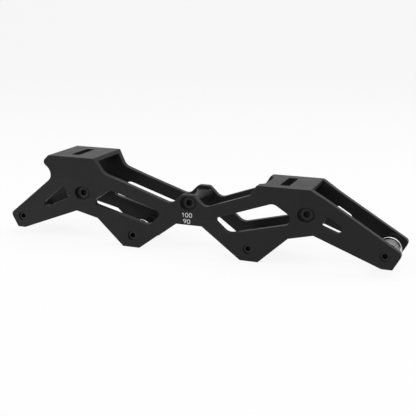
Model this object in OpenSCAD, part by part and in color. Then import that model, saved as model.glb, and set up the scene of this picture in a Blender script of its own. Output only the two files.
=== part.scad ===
// Aluminium inline speed skate frame for two 100 mm and two 90 mm wheels.
// A machined two-wall body carries three bolted cross bars, four screw-in axles
// and a collared bearing spacer on each axle.
// X runs from heel to toe, Y across the frame, Z up. The origin is mid wheelbase,
// midway between the walls, level with the flats under the inner axles.

/* [Wheels and axles] */
// Distance between the first and last axle
wheelbase = 283; // [279:0.5:288]
// Distance between the two inner axles
inner_pitch = 91; // [89:0.5:93]
// Diameter of the wheels on the first and last axle
outer_wheel_d = 100; // [98:0.5:101]
// Diameter of the wheels on the two inner axles
inner_wheel_d = 90; // [88:0.5:91]
// How much lower the inner wheels reach than the outer ones
rocker = 0.8; // [0:0.1:1.5]
// Diameter of the axle shaft
axle_d = 8; // [7:0.5:9]
// Diameter of the axle's threaded end
axle_thread_d = 7; // [6:0.5:7]
// Diameter of the axle head
axle_head_d = 12; // [11:0.5:13]
// Thickness of the axle head
axle_head_t = 2.6; // [2:0.1:3]
// Width across the flats of the axle's hex socket
axle_hex = 4; // [3:0.5:4.5]
// Depth of the axle's hex socket
axle_hex_depth = 3.2; // [2:0.2:5]
// Width left for a wheel between the axle bosses
wheel_gap = 24.6; // [23:0.2:26]
// Diameter of the bosses round the axles, inside the walls
axle_boss_d = 14.4; // [13.6:0.2:15]

/* [Body] */
// Width across the walls at the height of the cross bars
frame_w = 36.6; // [35:0.2:38]
// Thickness of the side walls
wall_t = 4.25; // [4:0.05:4.6]
// Height above the outer axles below which the walls splay out
splay_h = 13.5; // [11:0.5:15]
// Splay of the walls below that height, in degrees
wall_splay = 1.6; // [0.4:0.1:2.4]
// How far below the toe deck the walls start to flare out to the decks
flare_drop = 7.8; // [7:0.2:9]
// How much higher the flare starts on the inside of the walls
flare_lag = 2.5; // [1:0.5:3]
// Flare of the walls under the heel deck, in degrees
heel_flare = 11.3; // [8:0.1:13]
// Flare of the walls under the toe deck, in degrees
toe_flare = 15; // [10:0.5:17]
// Thickness of the two mounting decks
web_t = 2.6; // [2.2:0.1:3]
// Rounding along the outer edges of the decks
deck_edge_r = 0.5; // [0.3:0.1:1.5]
// Height of the heel deck above the outer axles
heel_deck_h = 51.3; // [49:0.1:53]
// How much lower the toe deck is than the heel deck
deck_step = 10; // [8:0.1:12]
// Flat under each inner axle, measured down from the axle
lobe_drop = 8.7; // [8:0.1:10]
// Flat under each outer axle, measured down from the axle
leg_drop = 8.8; // [8:0.1:10]
// Fillet between the decks and the walls, inside
web_fillet = 1; // [0.5:0.25:1.5]
// Height of the underside between the inner axles, above those axles
mid_arch_h = 13; // [11:0.1:15]

/* [Mounting slots] */
// Distance between the heel slot and the toe slot
mount_spacing = 165; // [163:0.5:167]
// How far the middle of the two slots lies behind mid wheelbase
mount_setback = 13; // [11:0.5:15]
// Width of a slot along the frame
slot_w = 7; // [6:0.5:9]
// Length of a slot across the frame
slot_l = 25; // [20:0.5:27]
// Corner radius of a slot
slot_r = 2; // [1:0.25:3]
// Length of the heel deck
heel_deck_l = 38.6; // [34:0.1:42]
// Length of the toe deck
toe_deck_l = 38.2; // [34:0.1:42]

/* [Cross bars] */
// Distance from the middle cross bar to the heel and toe ones
bar_pitch = 87; // [85:0.5:89]
// Height of the cross bars above the outer axles
bar_h = 23.2; // [22:0.1:24.5]
// Diameter of a cross bar at its waist
bar_d = 7.6; // [7:0.2:8]
// Diameter of the flanges at the ends of a cross bar
flange_d = 14; // [12:0.2:14]
// Thickness of a flange at its edge
flange_t = 0.8; // [0.6:0.1:2]
// Radius of the neck between the waist and a flange
neck_r = 8; // [6:0.5:10]
// Height of a cross bar over the flats on its flanges
bar_flat_h = 8.2; // [8.2:0.2:10]
// Diameter of the cross bar screws' threads
screw_d = 5; // [4.8:0.1:5.4]
// Length of thread in the cross bar
screw_reach = 8; // [6:0.5:10]
// Room in the tapped hole past the end of the screw
thread_runout = 2; // [1:0.5:3]
// Diameter of the screw heads
screw_head_d = 8.5; // [7:0.5:9]
// Thickness of the screw heads
screw_head_t = 1.4; // [1:0.1:1.6]
// Width across the flats of the screws' hex sockets
screw_hex = 4; // [3:0.1:4.1]
// Depth of the screws' hex sockets
screw_hex_depth = 2.4; // [1:0.1:3]
// Depth of the oval pockets over the screw heads
pocket_depth = 2; // [1.6:0.1:2.3]
// How much longer a pocket is than high
pocket_stretch = 2.8; // [1:0.1:4]

/* [Bearing spacers] */
// Length of a bearing spacer
spacer_l = 17.6; // [14:0.1:19]
// Diameter of a bearing spacer's ends
spacer_d = 13.8; // [12:0.1:14.4]
// Diameter of a bearing spacer's collar
collar_d = 17.2; // [15:0.1:17.2]
// Chamfer on the edges of the collar
collar_edge = 0.3; // [0.2:0.1:0.8]
// Width of a bearing spacer's collar
collar_w = 1.2; // [1:0.1:6]

/* [Fits] */
// Radial clearance of the axle in the body and of the spacer on the axle
running_clearance = 0.05; // [0.02:0.01:0.1]
// Radial gap round the axle heads in their counterbores
head_clearance = 0.6; // [0.3:0.05:1]
// Radial gap round the screw heads in their seats
seat_clearance = 0.15; // [0.1:0.05:0.4]
// Room above and below the screw heads in their pockets
pocket_room = 0.75; // [0.6:0.05:1.5]
// How far the axle heads lie below the far wall's face
head_sink = 0.4; // [0.2:0.1:0.8]
// How far the axle ends lie below the near wall's face
tip_sink = 1; // [0.4:0.1:1.4]
// Radial clearance of a screw in the wall
screw_clearance = 0.25; // [0.1:0.05:0.4]
// Radial room between a wheel and the body
wheel_clearance = 1.2; // [0.8:0.1:2]

/* [Hidden] */
$fn = 48;
black = [0.035, 0.036, 0.038];
dark_steel = [0.10, 0.10, 0.105];
silver = [0.78, 0.79, 0.80];

// How far cutters run past the faces that they open
overrun = 1;
// Turn of each straight step along a rounded corner
arc_step = 12;

// Axle, bar and deck places
outer_x = wheelbase / 2;
inner_x = inner_pitch / 2;
inner_z = lobe_drop;
outer_z = inner_z + (outer_wheel_d - inner_wheel_d) / 2 + rocker;
axle_at = [[-outer_x, outer_z], [-inner_x, inner_z], [inner_x, inner_z], [outer_x, outer_z]];
bar_z = outer_z + bar_h;
bar_x = [-bar_pitch, 0, bar_pitch];
heel_z = outer_z + heel_deck_h;
toe_z = heel_z - deck_step;
heel_slot_x = -mount_setback - mount_spacing / 2;
toe_slot_x = -mount_setback + mount_spacing / 2;

// Half widths of the body, outside and between the walls: straight from splay_z to the flare,
// wider below by the splay and above by the flare
half_w = frame_w / 2;
half_gap = half_w - wall_t;
boss_face = wheel_gap / 2;
splay_z = outer_z + splay_h;
flare_z = toe_z - flare_drop;
inner_flare_z = flare_z + flare_lag;
function splayed(half, z) = half + (splay_z - z) * tan(wall_splay);
function outside_half(z, flare) = half_w + (z - flare_z) * tan(flare);
function inside_half(z, flare) = half_gap + (z - inner_flare_z) * tan(flare);
axle_face = splayed(half_w, outer_z);
reach = outside_half(heel_z, heel_flare) + overrun;

// Corners of the outline, as [x, z, radius] from the place named
// From the inner toe axle: flat under the axle, and the two lower corners of the long windows
lobe_rear = [-5.8, -lobe_drop, 1];
lobe_front = [7.65, -lobe_drop, 1];
toe_window_tail = [-26.6, 19.6, 2.2];
toe_window_foot = [-15.2, 9.9, 7];
heel_window_tail = [-24.9, 20, 3];
heel_window_foot = [-14.2, 9.6, 7];
// From the toe cross bar: arch below it, and the corners of the windows on both sides of it
arch_low = [-12.5, -18.2, 1.5];
arch_peak = [5.4, -14.05, 2];
toe_window_tip = [-4.4, -6.3, 4.6];
toe_window_shoulder = [-23.5, 5.95, 6];
heel_window_tip = [-6.9, -6.8, 2.4];
heel_window_shoulder = [-23.9, 4.65, 6];
toe_leg_window_root = [10.4, -6.65, 1];
toe_leg_window_top = [14.9, 0.65, 1.6];
heel_leg_window_root = [10.4, -3.95, 1];
heel_leg_window_top = [17, 4.6, 2];
// From the last axle: foot and ends of the legs, and where the edges of the leg windows would meet
leg_rear = [-2, -leg_drop, 1];
toe_leg_front = [5.4, -leg_drop, 1];
heel_leg_front = [4.4, -leg_drop, 1];
toe_leg_end = [11.7, 2.5, 3.2];
heel_leg_end = [10.5, 1.75, 3.2];
toe_leg_window_point = [-3.5, 1.6, 3.2];
heel_leg_window_point = [-8.9, 4.1, 2.3];
// From the ends of the decks: nose and notch behind the heel deck, steps down to the arms
nose = [-6.5, -6, 3.2];
nose_notch = [3.9, -14.75, 7.8];
heel_step = [6.6, -11.55, 9];
toe_step = [-5.2, -7.9, 2];
// From the middle cross bar: hump over it, the valleys beside the hump
heel_hump = [5.2, 6.4, 3.5];
heel_valley = [13.2, -1.6, 7];
toe_hump = [3.7, 6.4, 3.5];
toe_valley = [12.3, -1.9, 6];
// Arch between the inner axles, from the middle at their height
mid_arch = [10.25, mid_arch_h, 1.5];

// Decks: middles a little ahead of the slots, radii of their end corners
deck_lead = 1.4;
deck_end_r = 1;
toe_front_r = 1.5;
heel_deck = [heel_slot_x + deck_lead - heel_deck_l / 2, heel_slot_x + deck_lead + heel_deck_l / 2];
toe_deck = [toe_slot_x + deck_lead - toe_deck_l / 2, toe_slot_x + deck_lead + toe_deck_l / 2];

// Recess in the toe deck that clears the wheel under its rear edge
deck_notch = 3.8;
deck_notch_w = 28.2;
deck_notch_r = 6;

// Where each loose spacer rests along its axle
spacer_rest = [0, -2.4, 0, 0];

// Oval pockets over the screw heads, with short flats at their ends
pocket_h = screw_head_d + 2 * pocket_room;
pocket_flat = 0.4;
pocket_r = (pocket_h - pocket_flat) / 2;
screw_seat = half_w - pocket_depth - screw_head_t;

function unit(v) = v / norm(v);
function turned(v, a) = [v.x * cos(a) - v.y * sin(a), v.x * sin(a) + v.y * cos(a)];

// Points of the arc that rounds corner b, between its neighbours a and c
function rounded_corner(a, b, c, r) =
    let (
        u = unit(a - b),
        v = unit(c - b),
        half = acos(u * v) / 2,
        centre = b + unit(u + v) * r / sin(half),
        start = b + u * r / tan(half) - centre,
        sweep = sign(cross(b - a, c - b)) * (180 - 2 * half),
        steps = max(2, ceil(abs(sweep) / arc_step))
    )
    [for (i = [0 : steps]) centre + turned(start, sweep * i / steps)];

// Outline with a radius at each corner, from a list of [x, z, radius]
function rounded(list) =
    let (n = len(list), p = [for (c = list) [c.x, c.y]])
    [for (i = [0 : n - 1]) each rounded_corner(p[(i + n - 1) % n], p[i], p[(i + 1) % n], list[i].z)];

// Corner of an outline at an offset from a place
function corner(at, o) = [at.x + o.x, at.y + o.y, o.z];

// The same corners on the heel side, and both halves of a section that is drawn for +Y
function flipped(list) = [for (i = [len(list) - 1 : -1 : 0]) [-list[i].x, list[i].y, list[i].z]];
function both_sides(half) = concat(half, [for (i = [len(half) - 1 : -1 : 0]) [-half[i].x, half[i].y]]);
function both_ends(half) = concat(half, [for (i = [len(half) - 1 : -1 : 0]) [half[i].x, -half[i].y]]);
function block_outline(x, y, r) = [[-x / 2, -y / 2, r], [x / 2, -y / 2, r], [x / 2, y / 2, r], [-x / 2, y / 2, r]];

// Underside from mid wheelbase to the rear of the toe leg's foot
toe_bar = [bar_pitch, bar_z];
underside = [
    corner([0, inner_z], mid_arch),
    corner(axle_at[2], lobe_rear),
    corner(axle_at[2], lobe_front),
    corner(toe_bar, arch_low),
    corner(toe_bar, arch_peak),
    corner(axle_at[3], leg_rear)
];

// Upper side from the foot of the toe leg back to the foot of the heel leg
upper_side = concat(
    [
        corner(axle_at[3], toe_leg_front),
        corner(axle_at[3], toe_leg_end),
        [toe_deck[1], toe_z, toe_front_r],
        [toe_deck[0], toe_z, deck_end_r],
        corner([toe_deck[0], toe_z], toe_step),
        corner([0, bar_z], toe_valley),
        corner([0, bar_z], toe_hump)
    ],
    flipped([corner([0, bar_z], heel_valley), corner([0, bar_z], heel_hump)]),
    [
        corner([heel_deck[1], heel_z], heel_step),
        [heel_deck[1], heel_z, deck_end_r],
        [heel_deck[0], heel_z, deck_end_r],
        corner([heel_deck[0], heel_z], nose),
        corner([heel_deck[0], heel_z], nose_notch)
    ],
    flipped([corner(axle_at[3], heel_leg_front), corner(axle_at[3], heel_leg_end)])
);

// Long windows between an outer and an inner axle, both drawn on the toe side
toe_arm_window = [
    corner(axle_at[2], toe_window_tail),
    corner(axle_at[2], toe_window_foot),
    corner(toe_bar, toe_window_tip),
    corner(toe_bar, toe_window_shoulder)
];
heel_arm_window = [
    corner(axle_at[2], heel_window_tail),
    corner(axle_at[2], heel_window_foot),
    corner(toe_bar, heel_window_tip),
    corner(toe_bar, heel_window_shoulder)
];

// Windows in the toe leg and in the taller heel leg, both drawn on the toe side
toe_leg_window = [
    corner(toe_bar, toe_leg_window_root),
    corner(axle_at[3], toe_leg_window_point),
    corner(toe_bar, toe_leg_window_top)
];
heel_leg_window = [
    corner(toe_bar, heel_leg_window_root),
    corner(axle_at[3], heel_leg_window_point),
    corner(toe_bar, heel_leg_window_top)
];

// Carries a shape drawn in X and Z across the frame from y0 to y1
module across(y0, y1) {
    translate([0, y1, 0])
        rotate([90, 0, 0])
            linear_extrude(y1 - y0)
                children();
}

// Round bar along Y at a place in X and Z
module rod(at, d, y0, y1) {
    translate([at.x, y1, at.y])
        rotate([90, 0, 0])
            cylinder(d = d, h = y1 - y0);
}

// Hexagonal bar along Y, flats up and down
module hex_rod(at, flats, y0, y1) {
    translate([at.x, y1, at.y])
        rotate([90, 0, 0])
            cylinder(d = flats / cos(30), h = y1 - y0, $fn = 6);
}

// Turned shape round a line along Y, drawn as radius and place along that line
module lathed(at) {
    translate([at.x, 0, at.y])
        rotate([90, 0, 0])
            rotate_extrude()
                children();
}

module side_outline() {
    polygon(rounded(concat(flipped(underside), underside, upper_side)));
}

// Carries a section drawn in Y and Z along the frame from x0 to x1
module along(x0, x1) {
    translate([x0, 0, 0])
        rotate([90, 0, 90])
            linear_extrude(x1 - x0)
                children();
}

// Outer section of the body under a deck
module body_section(deck_z, flare) {
    root = [half_w, flare_z];
    edge = [outside_half(deck_z, flare), deck_z];
    polygon(both_sides(concat(
        [[splayed(half_w, -overrun), -overrun], [half_w, splay_z], root],
        rounded_corner(root, edge, [0, deck_z], deck_edge_r)
    )));
}

// Section of the space between the walls, up to the height top
module gap_section(top, flare) {
    root = [half_gap, inner_flare_z];
    edge = [inside_half(top, flare), top];
    polygon(both_sides(concat(
        [[splayed(half_gap, -overrun), -overrun], [half_gap, splay_z], root],
        rounded_corner(root, edge, [0, top], web_fillet)
    )));
}

module windows() {
    across(-reach, reach) {
        polygon(rounded(toe_arm_window));
        polygon(rounded(flipped(heel_arm_window)));
        polygon(rounded(toe_leg_window));
        polygon(rounded(flipped(heel_leg_window)));
    }
}

module deck_slot(x, deck_z) {
    translate([x, 0, deck_z - web_t - overrun])
        linear_extrude(web_t + 2 * overrun)
            polygon(rounded(block_outline(slot_w, slot_l, slot_r)));
}

// Room for the wheel below the toe deck, and the recess in that deck's rear edge
module wheel_recess() {
    notch_l = 2 * (deck_notch + deck_notch_r);
    intersection() {
        rod(axle_at[2], inner_wheel_d + 2 * wheel_clearance, -half_gap, half_gap);
        translate([0, -half_w, flare_z])
            cube([wheelbase, frame_w, heel_z]);
    }
    translate([toe_deck[0] + deck_notch - notch_l / 2, 0, toe_z - web_t - overrun])
        linear_extrude(web_t + 2 * overrun)
            polygon(rounded(block_outline(notch_l, deck_notch_w, deck_notch_r)));
}

module axle_holes(at) {
    recess = axle_head_t + head_sink;
    rod(at, axle_thread_d + 2 * running_clearance, -reach, 0);
    rod(at, axle_d + 2 * running_clearance, 0, reach);
    rod(at, axle_head_d + 2 * head_clearance, axle_face - recess, reach);
}

module screw_holes(at) {
    seat_d = screw_head_d + 2 * seat_clearance;
    rod(at, screw_d + 2 * screw_clearance, -reach, reach);
    rod(at, seat_d, screw_seat, reach);
    rod(at, seat_d, -reach, -screw_seat);
    translate([at.x, 0, at.y]) {
        across(half_w - pocket_depth, reach)
            polygon(rounded(block_outline(pocket_h + pocket_stretch, pocket_h, pocket_r)));
        across(-reach, pocket_depth - half_w)
            polygon(rounded(block_outline(pocket_h + pocket_stretch, pocket_h, pocket_r)));
    }
}

module frame_body() {
    color(black)
        difference() {
            union() {
                difference() {
                    intersection() {
                        across(-reach, reach)
                            side_outline();
                        union() {
                            along(-wheelbase, 0)
                                body_section(heel_z, heel_flare);
                            along(-overrun, wheelbase)
                                body_section(toe_z, toe_flare);
                        }
                    }
                    along(-wheelbase, 0)
                        gap_section(heel_z - web_t, heel_flare);
                    along(-overrun, wheelbase)
                        gap_section(toe_z - web_t, toe_flare);
                    along(toe_deck[1], wheelbase)
                        gap_section(heel_z, toe_flare);
                }
                for (at = axle_at) {
                    rod(at, axle_boss_d, -half_w + wall_t / 2, -boss_face);
                    rod(at, axle_boss_d, boss_face, half_w - wall_t / 2);
                }
            }
            windows();
            deck_slot(heel_slot_x, heel_z);
            deck_slot(toe_slot_x, toe_z);
            wheel_recess();
            for (at = axle_at)
                axle_holes(at);
            for (x = bar_x)
                screw_holes([x, bar_z]);
        }
}

// Bobbin between the walls, tapped at both ends, with flats across its flanges above and below
module cross_bar(x) {
    at = [x, bar_z];
    thread = screw_d + 2 * running_clearance;
    tapped = half_gap - screw_reach - thread_runout;
    neck_turn = acos(1 - (flange_d - bar_d) / 2 / neck_r);
    neck_y = half_gap - flange_t - neck_r * sin(neck_turn);
    steps = ceil(neck_turn / arc_step);
    neck = [
        for (i = [0 : steps])
            [bar_d / 2 + neck_r * (1 - cos(neck_turn * i / steps)), neck_y + neck_r * sin(neck_turn * i / steps)]
    ];
    color(black)
        difference() {
            intersection() {
                lathed(at)
                    polygon(both_ends(concat(neck, [[flange_d / 2, half_gap], [0, half_gap]])));
                translate([x - flange_d, -half_w, bar_z - bar_flat_h / 2])
                    cube([2 * flange_d, frame_w, bar_flat_h]);
            }
            rod(at, thread, -half_gap - overrun, -tapped);
            rod(at, thread, tapped, half_gap + overrun);
        }
}

// Low head screw through the far wall into a cross bar, flush with the floor of its pocket
module bar_screw_far(x) {
    at = [x, bar_z];
    color(dark_steel)
        difference() {
            union() {
                rod(at, screw_d, half_gap - screw_reach, screw_seat);
                rod(at, screw_head_d, screw_seat, screw_seat + screw_head_t);
            }
            hex_rod(at, screw_hex, screw_seat + screw_head_t - screw_hex_depth, half_w);
        }
}

module bar_screw_near(x) {
    mirror([0, 1, 0])
        bar_screw_far(x);
}

// One-piece axle: head in the far wall, threaded end in the near wall
module axle(i) {
    at = axle_at[i];
    head_y = axle_face - axle_head_t - head_sink;
    tip_y = -axle_face + tip_sink;
    color(dark_steel)
        difference() {
            union() {
                rod(at, axle_thread_d, tip_y, 0);
                rod(at, axle_d, -boss_face, head_y);
                rod(at, axle_head_d, head_y, head_y + axle_head_t);
            }
            hex_rod(at, axle_hex, tip_y - overrun, tip_y + axle_hex_depth);
            hex_rod(at, axle_hex, head_y + axle_head_t - axle_hex_depth, axle_face);
        }
}

// Collared sleeve that keeps a wheel's two bearings apart
module spacer(i) {
    bore_r = axle_d / 2 + running_clearance;
    color(silver)
        translate([0, spacer_rest[i], 0])
            lathed(axle_at[i])
                polygon(both_ends([
                    [collar_d / 2, collar_w / 2 - collar_edge],
                    [collar_d / 2 - collar_edge, collar_w / 2],
                    [spacer_d / 2, collar_w / 2],
                    [spacer_d / 2, spacer_l / 2],
                    [bore_r, spacer_l / 2]
                ]));
}

frame_body();
cross_bar(bar_x[0]);  // heel_cross_bar
cross_bar(bar_x[1]);  // middle_cross_bar
cross_bar(bar_x[2]);  // toe_cross_bar
bar_screw_near(bar_x[0]);  // heel_bar_screw_near
bar_screw_near(bar_x[1]);  // middle_bar_screw_near
bar_screw_near(bar_x[2]);  // toe_bar_screw_near
bar_screw_far(bar_x[0]);  // heel_bar_screw_far
bar_screw_far(bar_x[1]);  // middle_bar_screw_far
bar_screw_far(bar_x[2]);  // toe_bar_screw_far
axle(0);  // axle_1
axle(1);  // axle_2
axle(2);  // axle_3
axle(3);  // axle_4
spacer(0);  // spacer_1
spacer(1);  // spacer_2
spacer(2);  // spacer_3
spacer(3);  // spacer_4
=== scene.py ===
"""Looks of a machined inline skate frame: anodised body, turned fasteners, size marks, white studio."""
import math
from functools import reduce

import bpy
import numpy as np
from bpy.props import FloatProperty, FloatVectorProperty, IntProperty, PointerProperty
from bpy.types import NodeSocket, Operator, Panel, PropertyGroup
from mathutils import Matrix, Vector


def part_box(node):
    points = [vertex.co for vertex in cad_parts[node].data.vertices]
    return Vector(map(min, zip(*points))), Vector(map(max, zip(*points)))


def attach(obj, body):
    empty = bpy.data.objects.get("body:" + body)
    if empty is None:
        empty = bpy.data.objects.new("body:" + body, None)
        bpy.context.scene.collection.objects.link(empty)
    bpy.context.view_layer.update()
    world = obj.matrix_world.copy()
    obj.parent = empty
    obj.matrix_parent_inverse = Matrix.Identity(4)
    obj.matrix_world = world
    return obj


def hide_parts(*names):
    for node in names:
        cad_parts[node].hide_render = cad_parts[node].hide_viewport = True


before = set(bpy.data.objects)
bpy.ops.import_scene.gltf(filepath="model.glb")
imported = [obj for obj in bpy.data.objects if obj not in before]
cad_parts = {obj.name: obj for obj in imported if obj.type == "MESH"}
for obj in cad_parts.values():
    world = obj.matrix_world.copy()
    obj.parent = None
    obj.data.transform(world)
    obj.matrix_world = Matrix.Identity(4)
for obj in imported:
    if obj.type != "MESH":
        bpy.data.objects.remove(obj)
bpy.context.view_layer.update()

bl_info = {
    "name": "Inline Skate Frame",
    "version": (1, 0, 0),
    "blender": (4, 5, 0),
    "location": "3D View > Sidebar > Skate Frame",
    "description": "Builds the finish, turned fasteners, size marks and studio of a skate frame",
    "category": "Object",
}

BARS = ("heel_cross_bar", "middle_cross_bar", "toe_cross_bar")
SCREW_PLACES = ("heel", "middle", "toe")
POSITIONS = (1, 2, 3, 4)
WHEEL_SIZES = ("100", "90")
MM = 0.001
FULL_TURN = 2.0 * np.pi

# Way out of each wall along Y
WALLS = {"near": -1, "far": 1}

# Angle past which a corner of a turned piece is shaded sharp
SHARP_CORNER = math.radians(32)

# Stations along one turn of a thread, and along a cross bar's neck
THREAD_STEPS = 8
NECK_STEPS = 41

# Parts of a hexagon socket as shares of its width across the flats: the chamfer, the drill point below the
# floor, and the depth below the floor and the distance from the axis that take the socket's painted shade
SOCKET_CHAMFER = 0.08
SOCKET_POINT = 0.12
SOCKET_END = 0.13
SOCKET_REACH = 0.6

# Mouth of a hexagon socket: where its chamfer fades out, in chamfers, then its radii in half widths
CHAMFER_FOOT = 1.6
CHAMFER_SWELL = 1.02
HEX_CORNER = 1.155

# Height up a spacer's fillet, as a share of it, at which the collar's bright finish starts and the hub's
# painted shade ends
COLLAR_START = 0.8

# Edges of the painted shade in the screws' pockets: the oval's margin, as a share of its size, and the lip's
# depth
POCKET_MARGIN = 1.03
POCKET_LIP = 0.25 * MM

# How the body's triangles are closed, joined into flat faces and given broken edges
WELD_GAP = 0.001 * MM
FLAT_ANGLE = math.radians(0.4)
EDGE_ANGLE = math.radians(34)
EDGE_STEPS = 3
EVEN_WEIGHT = 80

# Noises in the finishes: waves per metre, octaves of plain and of rich ones, and the values that count as
# their dark and light parts
PATCH_SCALE = 70.0
STAIN_SCALE = 400.0
SPECKLE_SCALE = 6000.0
PLAIN_DETAIL = 2.0
RICH_DETAIL = 3.0
NOISE_RANGE = (0.3, 0.7)

# Shares of a finish's colour in the dark and light parts of its noise
ANODISED_SHADES = (0.86, 1.16)
STAINED_SHADES = (0.88, 1.0)
ETCHED_SHADES = (0.85, 1.0)

# Change of a finish's roughness in the dark and light parts of its noise
ANODISED_GLOSS = (-0.03, 0.04)
TURNED_GLOSS = (-0.05, 0.08)

# Strength and height of the bumps that blasting and turning leave
GRAIN_BUMP = (0.12, 0.02 * MM)
RING_BUMP = (0.25, 0.01 * MM)

# Numerals: how square a 0 is, the points along a 0, a straight line, a ring and a tail, the points round a
# line, and the size of a line at its open ends
SQUARENESS = 0.8
OVAL_STEPS = 48
STRAIGHT_STEPS = 12
RING_STEPS = 40
TAIL_STEPS = 14
LINE_SIDES = 12
LINE_TIP = 0.05

# Studio: roughness of the floor, steps in its bend, and the camera's sensor and nearest distance
FLOOR_ROUGHNESS = 0.9
BEND_STEPS = 16
SENSOR_WIDTH = 36.0
NEAR_CLIP = 10.0 * MM


def length(name, text, millimetres, low=0.0, high=1000.0):
    """A length that a user may set, with its default given in millimetres."""
    return FloatProperty(
        name=name, description=text, default=millimetres * MM, min=low * MM, max=high * MM,
        precision=5, subtype="DISTANCE", unit="LENGTH",
    )


def angle(name, text, degrees):
    """An angle that a user may set, with its default given in degrees."""
    return FloatProperty(
        name=name, description=text, default=math.radians(degrees), subtype="ANGLE", unit="ROTATION",
    )


def spot(name, text, metres):
    """A place in the frame's own axes that a user may set."""
    return FloatVectorProperty(
        name=name, description=text, default=metres, size=3, subtype="XYZ", unit="LENGTH",
    )


def colour(name, text, rgb):
    """A linear colour that a user may set."""
    return FloatVectorProperty(
        name=name, description=text, default=rgb, min=0.0, max=1.0, size=3, subtype="COLOR",
    )


def share(name, text, value):
    """A plain number from 0 to 1 that a user may set."""
    return FloatProperty(name=name, description=text, default=value, min=0.0, max=1.0, subtype="FACTOR")


def watts(name, text, value):
    """A lamp's power that a user may set."""
    return FloatProperty(name=name, description=text, default=value, min=0.0, max=100.0, unit="POWER")


class SkateFinish(PropertyGroup):
    """Colours and surface detail of the frame's metals."""

    black: colour("Anodised black", "Colour of the anodised body", (0.0140, 0.0140, 0.0148))
    edge: colour("Broken edge", "Colour of the body along its broken edges", (0.022, 0.022, 0.023))
    screw: colour("Screw steel", "Colour of the blackened screws", (0.026, 0.026, 0.027))
    axle: colour("Axle steel", "Colour of the dark plated axles", (0.030, 0.030, 0.031))
    # The sockets' colour, darker than the steel round them, is painted shade
    socket: colour("Socket", "Colour inside the blackened sockets", (0.013, 0.013, 0.013))
    # The hubs' colour is the spacer's metal darkened as painted shade
    hub: colour("Spacer hub", "Colour of the satin ends of the spacers", (0.22, 0.22, 0.23))
    silver: colour("Spacer silver", "Colour of the spacers' bright collars", (0.64, 0.64, 0.65))
    etched: colour("Etched mark", "Colour of the etched size marks", (0.62, 0.62, 0.62))
    # The darker colour in the screws' pockets is painted shade
    pocket_painted_shade: share("Pocket shade", "Share of the colour that is left in the screws' pockets", 0.25)
    shine: share("Shine", "Strength of the reflection on the anodised faces", 0.12)
    satin: share("Satin roughness", "Roughness of the anodised faces", 0.40)
    edge_gloss: share("Edge gloss", "How much smoother the broken edges are than the faces", 0.06)
    screw_satin: share("Screw roughness", "Roughness of the blackened screws", 0.36)
    axle_satin: share("Axle roughness", "Roughness of the plated axles", 0.34)
    socket_satin: share("Socket roughness", "Roughness inside the blackened sockets", 0.50)
    hub_satin: share("Hub roughness", "Roughness of the satin ends of the spacers", 0.17)
    silver_satin: share("Collar roughness", "Roughness of the spacers' bright collars", 0.12)
    etched_satin: share("Mark roughness", "Roughness of the etched size marks", 0.75)
    edge_width: length("Edge width", "Width of the broken edges of the body", 0.2, 0.05, 1.0)
    grain: length("Grain", "Size of the blasted grain under the anodising", 0.22, 0.05, 2.0)
    axle_feed: length("Axle feed", "Distance between the turning rings on an axle", 0.08, 0.01, 1.0)
    screw_feed: length("Screw feed", "Distance between the turning rings on a screw", 0.10, 0.01, 1.0)
    spacer_feed: length("Spacer feed", "Distance between the turning rings on a spacer", 0.12, 0.01, 1.0)


class SkateFasteners(PropertyGroup):
    """Sizes of the turned axles, screws, spacers and cross bars, and of the walls and pockets round them."""

    axle_d: length("Axle diameter", "Diameter of an axle where the bearings sit", 8.0)
    axle_thread_d: length("Axle thread", "Outer diameter of an axle's thread", 7.0)
    axle_thread_l: length("Axle thread length", "Length of an axle's threaded end", 6.5)
    axle_head_t: length("Axle head", "Thickness of an axle's head", 2.6)
    axle_hex: length("Axle socket", "Width across the flats of the socket in an axle's head", 4.0)
    tip_hex: length("Axle tip socket", "Width across the flats of the socket in an axle's tip", 3.2)
    axle_hex_depth: length("Axle socket depth", "Depth of an axle's sockets", 3.2)
    screw_d: length("Screw thread", "Outer diameter of a cross bar screw's thread", 5.0)
    screw_head_t: length("Screw head", "Thickness of a cross bar screw's head", 1.4)
    screw_hex: length("Screw socket", "Width across the flats of a screw's socket", 4.0)
    screw_hex_depth: length("Screw socket depth", "Depth of a screw's socket", 2.4)
    screw_edge: length("Fine edge", "Rounding of the edges of screws and cross bars", 0.15, 0.05, 0.5)
    pitch: length("Thread pitch", "Distance between two turns of a thread", 1.0, 0.3, 3.0)
    thread_depth: length("Thread depth", "Depth of a thread's groove", 0.45, 0.1, 1.0)
    break_edge: length("Broken edge", "Rounding of the edges of axles and spacers", 0.35, 0.05, 1.0)
    spacer_end_d: length("Spacer ends", "Diameter of a spacer's two ends", 13.8)
    spacer_bore_d: length("Spacer bore", "Diameter of a spacer's bore", 8.1)
    collar_w: length("Collar width", "Width of a spacer's collar", 1.2)
    bar_d: length("Cross bar waist", "Diameter of a cross bar at its waist", 7.6)
    bar_bore_d: length("Cross bar bore", "Diameter of a cross bar's tapped bore", 5.1)
    flange_t: length("Flange", "Thickness of a cross bar's flanges at their edges", 0.8)
    pocket_w: length("Pocket length", "Length of the oval pocket over a screw", 12.8)
    pocket_h: length("Pocket height", "Height of the oval pocket over a screw", 10.0)
    wall_y: length("Wall face", "Distance of the walls' faces from the middle of the frame", 18.3)
    segments: IntProperty(
        name="Segments", description="Faces round a turned piece", default=96, min=24, max=192,
    )


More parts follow.
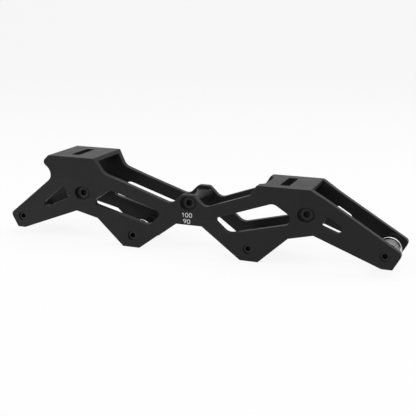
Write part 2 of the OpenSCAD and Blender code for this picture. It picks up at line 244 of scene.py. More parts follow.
class SkateMarks(PropertyGroup):
    """Size marks below the middle screw: the diameters of the two kinds of wheel."""

    height: length("Mark height", "Height of a numeral", 3.4)
    width: length("Mark width", "Width of a round numeral", 2.05)
    step: length("Mark step", "Distance between two numerals", 3.0)
    stroke: length("Stroke", "Width of a numeral's line", 0.5)
    relief: length("Relief", "Height of a numeral's line above the wall", 0.03)
    centre_x: length("Mark place", "Middle of both lines along the frame", -1.3, -200.0)
    upper_z: length("Upper line", "Height of the middle of the upper line", 29.05)
    lower_z: length("Lower line", "Height of the middle of the lower line", 24.35)
    splay_z: length("Splay height", "Height below which the wall splays out", 28.0)
    splay: angle("Wall splay", "How far the wall splays out below that height", 1.6)


class SkateStage(PropertyGroup):
    """Camera, lamps and floor of the studio."""

    eye: spot("Camera place", "Place of the camera", (0.2160, -0.5318, 0.18165))
    azimuth: angle("Azimuth", "Turn of the camera round the frame", 21.35)
    elevation: angle("Elevation", "Tilt of the camera above the horizon", 14.80)
    lens: FloatProperty(
        name="Lens", description="Focal length of the camera", default=69.19, min=10.0, unit="CAMERA",
    )
    floor: colour("Floor", "Colour of the floor and the backdrop", (0.90, 0.90, 0.90))
    floor_side: length("Floor side", "Reach of the floor to either side", 4000.0, 0.0, 10000.0)
    floor_front: length("Floor front", "Reach of the floor in front of the frame", 4000.0, 0.0, 10000.0)
    floor_back: length("Floor back", "Reach of the flat floor behind the frame", 1500.0, 0.0, 10000.0)
    floor_bend: length("Floor bend", "Radius of the floor's bend into the backdrop", 800.0)
    backdrop: length("Backdrop", "Height of the backdrop", 2400.0, 0.0, 10000.0)
    shadow: share("Shadow", "How much of the frame's shadow the white floor keeps", 0.12)
    world: share("World light", "Strength of the even light all round", 0.36)
    top: watts("Top light", "Power of the softbox above the frame", 5.7)
    top_size: length("Top light size", "Side of the softbox above the frame", 900.0)
    top_place: spot("Top light place", "Place of the softbox above the frame", (0.40, 0.12, 0.80))
    top_aim: spot("Top light aim", "Point that the softbox above the frame faces", (0.03, 0.0, 0.0))
    left: watts("Left light", "Power of the softbox at the left front", 5.6)
    left_size: length("Left light size", "Side of the softbox at the left front", 700.0)
    left_place: spot("Left light place", "Place of the softbox at the left front", (-0.72, -0.50, 0.36))
    left_aim: spot("Left light aim", "Point that the softbox at the left front faces", (-0.1, 0.0, 0.02))


def keep_mesh(name, points, faces, along=None):
    """A new object from whole arrays of points and faces, smooth apart from its sharp corners. Along is each
    point's distance along the outline that was turned, for the turning rings to follow."""
    mesh = bpy.data.meshes.new(name)
    mesh.from_pydata(points.reshape(-1, 3).tolist(), [], [f for group in faces for f in group.tolist()])
    if along is not None:
        attribute = mesh.attributes.new("along", "FLOAT", "POINT")
        attribute.data.foreach_set("value", np.ascontiguousarray(along, np.float32))
    mesh.shade_smooth()
    mesh.set_sharp_from_angle(angle=SHARP_CORNER)
    mesh.validate()
    obj = bpy.data.objects.new(name, mesh)
    bpy.context.scene.collection.objects.link(obj)
    return obj


def grid_faces(rows, columns, wrap_rows=False):
    """Quads between neighbouring points of a grid whose columns run all the way round."""
    i = np.arange(rows if wrap_rows else rows - 1)[:, None]
    j = np.arange(columns)[None, :]
    below, beside = (i + 1) % rows, (j + 1) % columns
    corners = (i * columns + j, i * columns + beside, below * columns + beside, below * columns + j)
    return np.stack([np.broadcast_to(c, (len(i), columns)) for c in corners], -1).reshape(-1, 4)


def fan_faces(pole, ring, columns, outward):
    """Triangles from a pole to the ring of points that starts at index ring."""
    j = np.arange(columns)
    beside = (j + 1) % columns
    first, second = (beside, j) if outward else (j, beside)
    return np.stack([np.full(columns, pole), ring + first, ring + second], -1)


def turned(stations, segments, thread=None):
    """Surface turned about Y: radius r at each station (y, r, h), where h blends a circle into a hexagon.
    The hexagon's radius is r / cos(a), with a the angle from the middle of its nearest flat. A thread
    (y0, y1, pitch, depth) takes depth times a triangle wave of y / pitch + turn off the radius, and fades
    out over a pitch at both ends."""
    y, r, h = np.array(stations, float).T
    turn = np.linspace(0.0, FULL_TURN, segments, endpoint=False)
    flat = 1.0 / np.cos(np.mod(turn, np.pi / 3.0) - np.pi / 6.0)
    radius = r[:, None] * (1.0 + h[:, None] * (flat[None, :] - 1.0))
    if thread:
        y0, y1, pitch, depth = thread
        phase = np.mod(y[:, None] / pitch + turn[None, :] / FULL_TURN, 1.0)
        run_out = np.clip(np.minimum(y - y0, y1 - y) / pitch, 0.0, 1.0)[:, None]
        radius = radius - depth * run_out * np.abs(2.0 * phase - 1.0)
    grid = np.stack([
        radius * np.cos(turn)[None, :],
        np.broadcast_to(y[:, None], radius.shape),
        radius * np.sin(turn)[None, :],
    ], -1)
    steps = np.hypot(np.diff(y), np.diff(r))
    along = np.repeat(np.concatenate([[0.0], np.cumsum(steps)]), segments)
    return grid, along


def turned_solid(name, stations, place, segments, thread=None):
    """Closed solid at a place (x, z) from a turned surface whose first and last stations are poles."""
    grid, along = turned(stations[1:-1], segments, thread)
    rows = grid.shape[0]
    poles = np.array([[0.0, stations[0][0], 0.0], [0.0, stations[-1][0], 0.0]])
    points = np.concatenate([grid.reshape(-1, 3), poles]) + np.array([place[0], 0.0, place[1]])
    first, last = rows * segments, rows * segments + 1
    faces = [
        grid_faces(rows, segments),
        fan_faces(first, 0, segments, outward=True),
        fan_faces(last, (rows - 1) * segments, segments, outward=False),
    ]
    return keep_mesh(name, points, faces, np.concatenate([along, [0.0, along[-1]]]))


def turned_ring(name, stations, place, segments, flat=None):
    """Closed ring at a place (x, z) from a turned surface whose stations run right round its section.
    A flat height above and below the axis holds back what would stand higher."""
    grid, along = turned(stations, segments)
    if flat:
        grid[..., 2] = np.clip(grid[..., 2], -flat, flat)
    points = grid.reshape(-1, 3) + np.array([place[0], 0.0, place[1]])
    faces = grid_faces(len(stations), segments, wrap_rows=True)[:, ::-1]
    return keep_mesh(name, points, [faces], along)


def node_middle(node):
    """Place (x, z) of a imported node's axis, its two ends along Y, and half its width."""
    low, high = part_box(node)
    return ((low.x + high.x) / 2, (low.z + high.z) / 2), low.y, high.y, (high.x - low.x) / 2


def round_stations(y, r):
    """Stations (y, r, 0) of a stretch without a hexagon, from its places along the axis and its radii."""
    return np.stack(np.broadcast_arrays(y, r, 0.0), -1)


def arc_stations(y, r, size, start, end, steps=5):
    """Stations of a round edge: a circle of that size about (y, r), from start to end in degrees."""
    t = np.radians(np.linspace(start, end, steps))
    return round_stations(y + size * np.sin(t), r + size * np.cos(t))


def socket_stations(mouth, depth, flats, inward):
    """Stations of a hexagon socket from its floor to its chamfered mouth; inward is the way in along Y."""
    chamfer = flats * SOCKET_CHAMFER
    floor = mouth + inward * depth
    return [
        (floor + inward * flats * SOCKET_POINT, 0.0, 0.0),
        (floor, flats / 2, 1.0),
        (mouth + inward * chamfer * CHAMFER_FOOT, flats / 2, 1.0),
        (mouth + inward * chamfer, flats / 2 * CHAMFER_SWELL, 1.0),
        (mouth, flats / 2 * HEX_CORNER + chamfer, 0.0),
    ]


def thread_stations(y0, y1, radius, pitch):
    """Plain stations along a thread, for the helix to cut into."""
    count = max(2, int(round(abs(y1 - y0) / pitch * THREAD_STEPS)))
    return round_stations(np.linspace(y0, y1, count), radius)


def axle_stations(sizes, tip, end, head_r):
    """Stations of an axle: the socket in its head, head, shaft and thread, then the socket in its tip."""
    edge, thread_r, shaft_r = sizes.break_edge, sizes.axle_thread_d / 2, sizes.axle_d / 2
    seat = end - sizes.axle_head_t
    shoulder = tip + sizes.axle_thread_l
    return [
        *socket_stations(end, sizes.axle_hex_depth, sizes.axle_hex, -1),
        *arc_stations(end - edge, head_r - edge, edge, 90, 0),
        *arc_stations(seat + edge / 2, head_r - edge / 2, edge / 2, 0, -90, steps=3),
        (seat, shaft_r, 0.0),
        (shoulder + edge, shaft_r, 0.0),
        (shoulder, shaft_r - edge, 0.0),
        (shoulder, thread_r - sizes.thread_depth, 0.0),
        *thread_stations(shoulder - edge, tip + edge, thread_r, sizes.pitch),
        (tip, thread_r - edge, 0.0),
        *socket_stations(tip, sizes.axle_hex_depth, sizes.tip_hex, 1)[::-1],
    ]


def screw_stations(sizes, way, end, point, head_r):
    """Stations of a cross bar screw from its socket over its head and thread to its point; way is the way
    out of its wall along Y."""
    edge, thread_r = sizes.screw_edge, sizes.screw_d / 2
    seat = end - way * sizes.screw_head_t
    rim = arc_stations(-edge, head_r - edge, edge, 90, 0) * (way, 1.0, 1.0) + (end, 0.0, 0.0)
    return [
        *socket_stations(end, sizes.screw_hex_depth, sizes.screw_hex, -way),
        *rim,
        (seat + way * edge / 2, head_r, 0.0),
        (seat, head_r - edge / 2, 0.0),
        (seat, thread_r, 0.0),
        *thread_stations(seat - way * edge, point + way * edge, thread_r, sizes.pitch),
        (point, thread_r - edge, 0.0),
        (point, 0.0, 0.0),
    ]


def bar_stations(sizes, low, high, flange_r):
    """Stations round a cross bar's section: an arc from flange to flange that is hollow in the middle,
    r = waist + R - sqrt(R * R - y * y), whose radius R follows from the flanges, and back along the bore."""
    waist, bore_r, edge = sizes.bar_d / 2, sizes.bar_bore_d / 2, sizes.screw_edge
    middle, reach = (low + high) / 2, (high - low) / 2 - sizes.flange_t
    rise = flange_r - waist
    arc_r = (reach * reach + rise * rise) / (2.0 * rise)
    y = np.linspace(-reach, reach, NECK_STEPS)
    r = waist + arc_r - np.sqrt(arc_r * arc_r - y * y)
    return [
        (low, bore_r, 0.0),
        (low, flange_r - edge, 0.0),
        (low + edge, flange_r, 0.0),
        *round_stations(middle + y, r),
        (high - edge, flange_r, 0.0),
        (high, flange_r - edge, 0.0),
        (high, bore_r, 0.0),
    ]


def spacer_stations(sizes, low, high, collar_r):
    """Stations round a spacer's section: rounded ends, fillets up to the middle collar, and the bore."""
    edge, end_r, bore_r = sizes.break_edge, sizes.spacer_end_d / 2, sizes.spacer_bore_d / 2
    near, far = (low + high - sizes.collar_w) / 2, (low + high + sizes.collar_w) / 2
    return [
        (low, bore_r + edge, 0.0),
        *arc_stations(low + edge, end_r - edge, edge, -90, 0, steps=4),
        *arc_stations(near - edge, end_r + edge, edge, 180, 90, steps=4),
        *arc_stations(near + edge, collar_r - edge, edge, -90, 0, steps=4),
        *arc_stations(far - edge, collar_r - edge, edge, 0, 90, steps=4),
        *arc_stations(far + edge, end_r + edge, edge, 270, 180, steps=4),
        *arc_stations(high - edge, end_r - edge, edge, 0, 90, steps=4),
        (high, bore_r + edge, 0.0),
        (high - edge, bore_r, 0.0),
        (low + edge, bore_r, 0.0),
    ]


def node_calls(tree):
    """The calls that add a node, with its settings and values, and join two sockets of a tree."""

    def add(kind, **values):
        node = tree.nodes.new(kind)
        for key, value in values.items():
            if hasattr(node, key):
                setattr(node, key, value)
            else:
                node.inputs[key].default_value = value
        return node

    return add, tree.links.new


def new_material(name, metallic):
    """An empty material, with its shader and the calls that add and join nodes."""
    material = bpy.data.materials.new(name)
    material.use_nodes = True
    shader = material.node_tree.nodes["Principled BSDF"]
    shader.inputs["Metallic"].default_value = metallic
    return material, shader, *node_calls(material.node_tree)


def worked_out(add, join, operation, *values):
    """Socket of one operation on numbers, each of them a socket or a plain number."""
    node = add("ShaderNodeMath", operation=operation)
    for entry, value in zip(node.inputs, values):
        if isinstance(value, NodeSocket):
            join(value, entry)
        else:
            entry.default_value = value
    return node.outputs[0]


def shaded(base, shades):
    """A colour times each of some shares, no brighter than white."""
    return [[min(1.0, c * shade) for c in base] for shade in shades]


def mixed_colour(add, join, factor, low, high):
    """Colour that runs from low to high with a factor; low is a socket or a plain colour."""
    mix = add("ShaderNodeMix", data_type="RGBA")
    if isinstance(low, NodeSocket):
        join(low, mix.inputs["A"])
    else:
        mix.inputs["A"].default_value = (*low, 1.0)
    mix.inputs["B"].default_value = (*high, 1.0)
    join(factor, mix.inputs["Factor"])
    return mix.outputs["Result"]


def uneven_gloss(add, join, shader, noise, roughness, gloss):
    """Roughness that changes by gloss (low, high) as a noise goes from its dark to its light parts."""
    node = add("ShaderNodeMapRange")
    node.inputs["From Min"].default_value, node.inputs["From Max"].default_value = NOISE_RANGE
    node.inputs["To Min"].default_value = roughness + gloss[0]
    node.inputs["To Max"].default_value = roughness + gloss[1]
    join(noise, node.inputs["Value"])
    join(node.outputs["Result"], shader.inputs["Roughness"])


def bumped(add, join, shader, noise, bump):
    """Bump (strength, height) that follows a noise."""
    node = add("ShaderNodeBump", Strength=bump[0], Distance=bump[1])
    join(noise, node.inputs["Height"])
    join(node.outputs["Normal"], shader.inputs["Normal"])


def pocket_shade_mask(add, join, place, sizes, spots):
    """Mask of the painted shade in the screws' oval pockets: 1 where the distance from the nearest spot (x,
    z), with x drawn in by the oval's shape, is less than half the pocket's height, and the face lies below
    the wall's own, and 0 elsewhere."""
    shape = sizes.pocket_h / sizes.pocket_w
    distances = []
    for x, z in spots:
        away = add("ShaderNodeVectorMath", operation="MULTIPLY_ADD")
        away.inputs[1].default_value = (shape, 0.0, 1.0)
        away.inputs[2].default_value = (-x * shape, 0.0, -z)
        join(place, away.inputs[0])
        distance = add("ShaderNodeVectorMath", operation="LENGTH")
        join(away.outputs["Vector"], distance.inputs[0])
        distances.append(distance.outputs["Value"])
    nearest = reduce(lambda a, b: worked_out(add, join, "MINIMUM", a, b), distances)
    inside = worked_out(add, join, "LESS_THAN", nearest, sizes.pocket_h / 2 * POCKET_MARGIN)
    parts = add("ShaderNodeSeparateXYZ")
    join(place, parts.inputs[0])
    across = worked_out(add, join, "ABSOLUTE", parts.outputs["Y"])
    sunk = worked_out(add, join, "LESS_THAN", across, sizes.wall_y - POCKET_LIP)
    return worked_out(add, join, "MULTIPLY", inside, sunk)


def anodised(name, base, roughness, look, pockets=None):
    """Satin anodising: blasted grain as bump, broad soft changes of depth of colour and of gloss. It is
    darkened in the pockets (sizes, spots) with painted shade."""
    material, shader, add, join = new_material(name, metallic=0.0)
    shader.inputs["Specular IOR Level"].default_value = look.shine
    place = add("ShaderNodeTexCoord").outputs["Object"]
    fine = add("ShaderNodeTexNoise", Scale=1.0 / look.grain, Detail=PLAIN_DETAIL)
    broad = add("ShaderNodeTexNoise", Scale=PATCH_SCALE, Detail=RICH_DETAIL)
    for noise in (fine, broad):
        join(place, noise.inputs["Vector"])
    tint = mixed_colour(add, join, broad.outputs["Fac"], *shaded(base, ANODISED_SHADES))
    if pockets:
        # Painted shade: the body's colour darkened in the screws' pockets
        in_painted_shade = pocket_shade_mask(add, join, place, *pockets)
        tint = mixed_colour(add, join, in_painted_shade, tint, *shaded(base, [look.pocket_painted_shade]))
    join(tint, shader.inputs["Base Color"])
    uneven_gloss(add, join, shader, broad.outputs["Fac"], roughness, ANODISED_GLOSS)
    bumped(add, join, shader, fine.outputs["Fac"], GRAIN_BUMP)
    return material


def turned_metal(name, base, roughness, feed):
    """Turned metal: fine rings that follow the lathe's feed along the piece, with uneven gloss from ring to
    ring, and faint stains."""
    material, shader, add, join = new_material(name, metallic=1.0)
    along = add("ShaderNodeAttribute", attribute_name="along").outputs["Fac"]
    rings = add("ShaderNodeTexNoise", noise_dimensions="1D", Scale=1.0 / feed, Detail=RICH_DETAIL)
    join(along, rings.inputs["W"])
    place = add("ShaderNodeTexCoord").outputs["Object"]
    stain = add("ShaderNodeTexNoise", Scale=STAIN_SCALE, Detail=PLAIN_DETAIL)
    join(place, stain.inputs["Vector"])
    tint = mixed_colour(add, join, stain.outputs["Fac"], *shaded(base, STAINED_SHADES))
    join(tint, shader.inputs["Base Color"])
    uneven_gloss(add, join, shader, rings.outputs["Fac"], roughness, TURNED_GLOSS)
    bumped(add, join, shader, rings.outputs["Fac"], RING_BUMP)
    return material


def etched_mark(base, roughness):
    """Laser-etched mark: pale, matt and slightly uneven."""
    material, shader, add, join = new_material("etched_mark", metallic=0.0)
    place = add("ShaderNodeTexCoord").outputs["Object"]
    speckle = add("ShaderNodeTexNoise", Scale=SPECKLE_SCALE, Detail=PLAIN_DETAIL)
    join(place, speckle.inputs["Vector"])
    tint = mixed_colour(add, join, speckle.outputs["Fac"], *shaded(base, ETCHED_SHADES))
    join(tint, shader.inputs["Base Color"])
    shader.inputs["Roughness"].default_value = roughness
    return material


def take_finish(obj, *materials):
    """Puts materials into an object's slots, in order."""
    obj.data.materials.clear()
    for material in materials:
        obj.data.materials.append(material)


def face_middles(obj, place):
    """Distance of the middle of each face from an axis at (x, z), and its y."""
    middles = np.empty(len(obj.data.polygons) * 3, np.float32)
    obj.data.polygons.foreach_get("center", middles)
    x, y, z = middles.reshape(-1, 3).T
    return np.hypot(x - place[0], z - place[1]), y


def in_socket(distance, y, mouth, depth, flats):
    """Whether faces lie in a socket: close to its axis, and no deeper than the point below its floor."""
    return (distance < flats * SOCKET_REACH) & (np.abs(y - mouth) < depth + flats * SOCKET_END)


def second_finish(obj, picked):
    """Gives an object's second material to the faces that are picked."""
    obj.data.polygons.foreach_set("material_index", picked.astype(np.int32))


def break_edges(obj, width, edge_material):
    """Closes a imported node's loose triangles, joins its flat faces and rounds its sharp edges."""
    weld = obj.modifiers.new("close", "WELD")
    weld.merge_threshold = WELD_GAP
    flats = obj.modifiers.new("join_flats", "DECIMATE")
    flats.decimate_type = "DISSOLVE"
    flats.angle_limit = FLAT_ANGLE
    edges = obj.modifiers.new("break_edges", "BEVEL")
    edges.width = width
    edges.segments = EDGE_STEPS
    edges.limit_method = "ANGLE"
    edges.angle_limit = EDGE_ANGLE
    edges.use_clamp_overlap = False
    edges.material = edge_material
    even = obj.modifiers.new("even_shading", "WEIGHTED_NORMAL")
    even.weight = EVEN_WEIGHT


class SKATE_OT_body(Operator):
    """Finishes the machined body: broken edges, and satin anodising with painted shade in the screws'
    pockets.
    """

    bl_idname = "skate.body"
    bl_label = "Body"

    def execute(self, context):
        look = context.scene.skate_finish
        spots = [node_middle(f"{where}_bar_screw_near")[0] for where in SCREW_PLACES]
        pockets = (context.scene.skate_fasteners, spots)
        faces = anodised("black_anodised", look.black, look.satin, look, pockets)
        edge = anodised("black_anodised_edge", look.edge, look.satin - look.edge_gloss, look)
        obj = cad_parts["frame_body"]
        take_finish(obj, faces, edge)
        break_edges(obj, look.edge_width, edge_material=1)
        return {"FINISHED"}


class SKATE_OT_bars(Operator):
    """Turns the three waisted cross bars, with flats milled across their flanges above and below."""

    bl_idname = "skate.bars"
    bl_label = "Cross bars"

    def execute(self, context):
        sizes = context.scene.skate_fasteners
        look = context.scene.skate_finish
        black = anodised("bar_anodised", look.black, look.satin, look)
        for node in BARS:
            place, low, high, flange_r = node_middle(node)
            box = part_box(node)
            flat = (box[1].z - box[0].z) / 2
            stations = bar_stations(sizes, low, high, flange_r)
            obj = turned_ring(f"turned_{node}", stations, place, sizes.segments, flat)
            take_finish(obj, black)
            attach(obj, "frame")
            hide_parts(node)
        return {"FINISHED"}


class SKATE_OT_axles(Operator):
    """Turns the four axles, each with a socketed head, a plain shaft and a threaded end."""

    bl_idname = "skate.axles"
    bl_label = "Axles"

    def execute(self, context):
        sizes = context.scene.skate_fasteners
        look = context.scene.skate_finish
        steel = turned_metal("axle_steel", look.axle, look.axle_satin, look.axle_feed)
        # Painted shade: a darker copy of the steel inside the axles' sockets
        black = turned_metal("axle_socket_shade", look.socket, look.socket_satin, look.axle_feed)
        for position in POSITIONS:
            node = f"axle_{position}"
            place, tip, end, head_r = node_middle(node)
            stations = axle_stations(sizes, tip, end, head_r)
            thread = (tip, tip + sizes.axle_thread_l, sizes.pitch, sizes.thread_depth)
            obj = turned_solid(f"turned_axle_{position}", stations, place, sizes.segments, thread)
            take_finish(obj, steel, black)
            middles = face_middles(obj, place)
            in_tip = in_socket(*middles, tip, sizes.axle_hex_depth, sizes.tip_hex)
            in_head = in_socket(*middles, end, sizes.axle_hex_depth, sizes.axle_hex)
            second_finish(obj, in_tip | in_head)
            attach(obj, node)
            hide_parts(node)
        return {"FINISHED"}


class SKATE_OT_screws(Operator):
    """Turns the six low head screws of the cross bars."""

    bl_idname = "skate.screws"
    bl_label = "Cross bar screws"

    def execute(self, context):
        sizes = context.scene.skate_fasteners
        look = context.scene.skate_finish
        steel = turned_metal("screw_steel", look.screw, look.screw_satin, look.screw_feed)
        # Painted shade: a darker copy of the steel inside the screws' sockets
        black = turned_metal("screw_socket_shade", look.socket, look.socket_satin, look.screw_feed)
        depth, flats = sizes.screw_hex_depth, sizes.screw_hex
        # The thread is cut only below the socket, where the screw is solid
        solid_from = depth + flats * SOCKET_POINT + sizes.screw_edge
        for side, way in WALLS.items():
            for where in SCREW_PLACES:
                node = f"{where}_bar_screw_{side}"
                place, low, high, head_r = node_middle(node)
                point, end = (low, high)[::way]
                stations = screw_stations(sizes, way, end, point, head_r)[::way]
                y0, y1 = sorted((end - way * solid_from, point))
                thread = (y0, y1, sizes.pitch, sizes.thread_depth)
                obj = turned_solid(f"turned_{node}", stations, place, sizes.segments, thread)
                take_finish(obj, steel, black)
                second_finish(obj, in_socket(*face_middles(obj, place), end, depth, flats))
                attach(obj, "frame")
                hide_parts(node)
        return {"FINISHED"}


class SKATE_OT_spacers(Operator):
    """Turns the four collared bearing spacers."""

    bl_idname = "skate.spacers"
    bl_label = "Bearing spacers"

    def execute(self, context):
        sizes = context.scene.skate_fasteners
        look = context.scene.skate_finish
        # Painted shade: the hubs take a darkened copy of the spacer's metal
        satin = turned_metal("spacer_hub_painted_shade", look.hub, look.hub_satin, look.spacer_feed)
        silver = turned_metal("spacer_collar", look.silver, look.silver_satin, look.spacer_feed)
        collar_from = sizes.spacer_end_d / 2 + sizes.break_edge * COLLAR_START
        for position in POSITIONS:
            node = f"spacer_{position}"
            place, low, high, collar_r = node_middle(node)
            stations = spacer_stations(sizes, low, high, collar_r)
            obj = turned_ring(f"turned_spacer_{position}", stations, place, sizes.segments)
            take_finish(obj, satin, silver)
            distance, _ = face_middles(obj, place)
            second_finish(obj, distance > collar_from)
            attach(obj, node)
            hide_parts(node)
        return {"FINISHED"}


def numeral_paths(digit, width, height):
    """Centre lines (x, z) of a numeral about its middle, and whether each one closes. A 0 is a tall
    superellipse, a 1 a stem with a short flag, and a 9 a ring with a tail that bends into it."""
    if digit == "0":
        t = np.linspace(0.0, FULL_TURN, OVAL_STEPS, endpoint=False)
        x = np.sign(np.cos(t)) * np.abs(np.cos(t)) ** SQUARENESS * width / 2
        z = np.sign(np.sin(t)) * np.abs(np.sin(t)) ** SQUARENESS * height / 2
        return [(np.stack([x, z], -1), True)]
    if digit == "1":
        stem_x, flag_w, flag_h = width * 0.18, width * 0.42, height * 0.16
        s = np.linspace(0.0, 1.0, STRAIGHT_STEPS)
        stem = np.stack([np.full_like(s, stem_x), height * (s - 0.5)], -1)
        flag = np.stack([stem_x - flag_w * s, height / 2 - flag_h * s], -1)
        return [(stem, False), (flag, False)]
    ring_z, ring_r = height * 0.23, height * 0.27
    tail_x, tail_z, tail_w, tail_bend = width * 0.46, ring_z * 0.7, width * 0.52, 1.4
    t = np.linspace(0.0, FULL_TURN, RING_STEPS, endpoint=False)
    ring = np.stack([width / 2 * np.cos(t), ring_z + ring_r * np.sin(t)], -1)
    s = np.linspace(0.0, 1.0, TAIL_STEPS)
    tail = np.stack([tail_x - tail_w * s ** tail_bend, tail_z - (tail_z + height / 2) * s], -1)
    return [(ring, True), (tail, False)]


def raised_line(path, closed, stroke, relief):
    """Flat line carried along a path in x and z: an ellipse of the stroke's width, and of twice the relief's
    depth, swept square to the path. Open ends draw in almost to a point."""
    ahead = np.roll(path, -1, 0) - np.roll(path, 1, 0)
    size = np.ones((len(path), 1))
    if not closed:
        ahead[0], ahead[-1] = path[1] - path[0], path[-1] - path[-2]
        size[[0, -1]] = LINE_TIP
    ahead /= np.linalg.norm(ahead, axis=1, keepdims=True)
    side = np.stack([-ahead[:, 1], ahead[:, 0]], -1)
    turn = np.linspace(0.0, FULL_TURN, LINE_SIDES, endpoint=False)[None, :]
    across = (stroke / 2) * np.cos(turn) * size
    depth = relief * np.sin(turn) * size
    x = path[:, :1] + side[:, :1] * across
    z = path[:, 1:] + side[:, 1:] * across
    return np.stack([x, -depth, z], -1)


def mark_lines(sizes, wall_y):
    """Raised lines of both wheel sizes on the near wall, and whether each one closes. Below the splay's
    height the wall stands out by the drop times the tangent of the splay."""
    for text, middle_z in zip(WHEEL_SIZES, (sizes.upper_z, sizes.lower_z)):
        for place, digit in enumerate(text):
            middle_x = sizes.centre_x + (place - (len(text) - 1) / 2) * sizes.step
            for path, closed in numeral_paths(digit, sizes.width, sizes.height - sizes.stroke):
                line = raised_line(path + [middle_x, middle_z], closed, sizes.stroke, sizes.relief)
                drop = np.maximum(0.0, sizes.splay_z - line[..., 2])
                line[..., 1] -= wall_y + drop * math.tan(sizes.splay)
                yield line, closed


class SKATE_OT_marks(Operator):
    """Etches the two wheel sizes below the middle screw, on the wall that splays out there."""

    bl_idname = "skate.marks"
    bl_label = "Size marks"

    def execute(self, context):
        look = context.scene.skate_finish
        points, faces, count = [], [], 0
        for line, closed in mark_lines(context.scene.skate_marks, context.scene.skate_fasteners.wall_y):
            rows, columns = line.shape[:2]
            faces.append(grid_faces(rows, columns, closed) + count)
            if not closed:
                rim = np.arange(columns) + count
                faces.append(rim[None, ::-1])
                faces.append((rim + (rows - 1) * columns)[None, :])
            points.append(line.reshape(-1, 3))
            count += rows * columns
        obj = keep_mesh("size_marks", np.concatenate(points), faces)
        take_finish(obj, etched_mark(look.etched, look.etched_satin))
        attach(obj, "frame")
        return {"FINISHED"}


def seen_rays(add, join):
    """Socket that is 1 for rays from the camera, off gloss and through glass, and 0 for all others."""
    path = add("ShaderNodeLightPath")
    kinds = [path.outputs[f"Is {kind} Ray"] for kind in ("Camera", "Glossy", "Transmission")]
    return reduce(lambda a, b: worked_out(add, join, "MAXIMUM", a, b), kinds)


def white_floor(base, shadow):
    """Floor that looks white to the camera and in the metal, and keeps a share of the frame's shadow."""
    material, shader, add, join = new_material("white_floor", metallic=0.0)
    shader.inputs["Base Color"].default_value = (*base, 1.0)
    shader.inputs["Roughness"].default_value = FLOOR_ROUGHNESS
    white = add("ShaderNodeEmission")
    mix = add("ShaderNodeMixShader")
    join(worked_out(add, join, "MULTIPLY", seen_rays(add, join), 1.0 - shadow), mix.inputs["Fac"])
    join(shader.outputs[0], mix.inputs[1])
    join(white.outputs[0], mix.inputs[2])
    output = material.node_tree.nodes["Material Output"]
    join(mix.outputs[0], output.inputs["Surface"])
    return material


def studio_world(strength):
    """World that lights the frame evenly and looks white beyond the floor."""
    world = bpy.data.worlds.new("studio_light")
    world.use_nodes = True
    add, join = node_calls(world.node_tree)
    sky = world.node_tree.nodes["Background"]
    sky.inputs["Color"].default_value = (1.0, 1.0, 1.0, 1.0)
    light = worked_out(add, join, "MULTIPLY_ADD", seen_rays(add, join), 1.0 - strength, strength)
    join(light, sky.inputs["Strength"])
    return world


def sweep_floor(side, front, back, bend, height):
    """Studio sweep: a floor from front to back that bends up a quarter circle into a wall of that height."""
    turn = np.linspace(0.0, np.pi / 2, BEND_STEPS)
    y = np.concatenate([[-front], back + bend * np.sin(turn), [back + bend]])
    z = np.concatenate([[0.0], bend * (1.0 - np.cos(turn)), [height]])
    x = np.array([-side, side])
    points = np.stack(np.broadcast_arrays(x[None, :], y[:, None], z[:, None]), -1)
    i = np.arange(len(y) - 1) * 2
    return keep_mesh("studio_floor", points, [np.stack([i, i + 1, i + 3, i + 2], -1)])


def softbox(name, power, size, place, target):
    """Square soft lamp at a place, turned towards a target."""
    lamp = bpy.data.lights.new(name, "AREA")
    lamp.energy = power
    lamp.size = size
    obj = bpy.data.objects.new(name, lamp)
    obj.location = place
    obj.rotation_mode = "QUATERNION"
    obj.rotation_quaternion = (Vector(target) - Vector(place)).to_track_quat("-Z", "Y")
    bpy.context.scene.collection.objects.link(obj)


def photo_view(stage):
    """Camera at the stage's eye, which looks back along the direction of its azimuth and elevation."""
    camera = bpy.data.cameras.new("photo_view")
    camera.lens = stage.lens
    camera.sensor_width = SENSOR_WIDTH
    camera.clip_start = NEAR_CLIP
    obj = bpy.data.objects.new("photo_view", camera)
    a, e = stage.azimuth, stage.elevation
    back = Vector((math.sin(a) * math.cos(e), -math.cos(a) * math.cos(e), math.sin(e)))
    obj.location = stage.eye
    obj.rotation_mode = "QUATERNION"
    obj.rotation_quaternion = (-back).to_track_quat("-Z", "Y")
    bpy.context.scene.collection.objects.link(obj)
    return obj


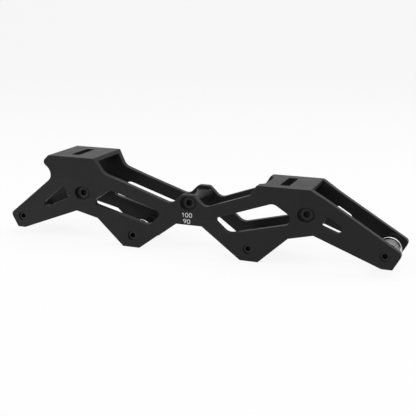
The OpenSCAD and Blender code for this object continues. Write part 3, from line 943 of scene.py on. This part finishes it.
class SKATE_OT_stage(Operator):
    """Sets the white studio: sweep floor, even light, two softboxes and the camera."""

    bl_idname = "skate.stage"
    bl_label = "Studio and camera"

    def execute(self, context):
        scene, stage = context.scene, context.scene.skate_stage
        floor = sweep_floor(
            stage.floor_side, stage.floor_front, stage.floor_back, stage.floor_bend, stage.backdrop,
        )
        take_finish(floor, white_floor(stage.floor, stage.shadow))
        scene.world = studio_world(stage.world)
        softbox("top_softbox", stage.top, stage.top_size, stage.top_place, stage.top_aim)
        softbox("left_softbox", stage.left, stage.left_size, stage.left_place, stage.left_aim)
        scene.camera = photo_view(stage)
        scene.view_settings.view_transform = "Standard"
        return {"FINISHED"}


class SKATE_PT_panel(Panel):
    """Lists the steps that dress the frame."""

    bl_idname = "SKATE_PT_panel"
    bl_label = "Skate Frame"
    bl_space_type = "VIEW_3D"
    bl_region_type = "UI"
    bl_category = "Skate Frame"

    def draw(self, context):
        for operator in OPERATORS:
            self.layout.operator(operator.bl_idname)


GROUPS = {
    "skate_finish": SkateFinish,
    "skate_fasteners": SkateFasteners,
    "skate_marks": SkateMarks,
    "skate_stage": SkateStage,
}
OPERATORS = (
    SKATE_OT_body, SKATE_OT_bars, SKATE_OT_axles, SKATE_OT_screws,
    SKATE_OT_spacers, SKATE_OT_marks, SKATE_OT_stage,
)
CLASSES = (*GROUPS.values(), *OPERATORS, SKATE_PT_panel)


def register():
    """Registers the classes, and the groups of settings on the scene."""
    for cls in CLASSES:
        bpy.utils.register_class(cls)
    for name, group in GROUPS.items():
        setattr(bpy.types.Scene, name, PointerProperty(type=group))


def unregister():
    """Takes the settings and the classes away again."""
    for name in GROUPS:
        delattr(bpy.types.Scene, name)
    for cls in reversed(CLASSES):
        bpy.utils.unregister_class(cls)


def main():
    """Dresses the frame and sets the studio."""
    register()
    bpy.ops.skate.body()
    bpy.ops.skate.bars()
    bpy.ops.skate.axles()
    bpy.ops.skate.screws()
    bpy.ops.skate.spacers()
    bpy.ops.skate.marks()
    bpy.ops.skate.stage()


if __name__ == "__main__":
    main()
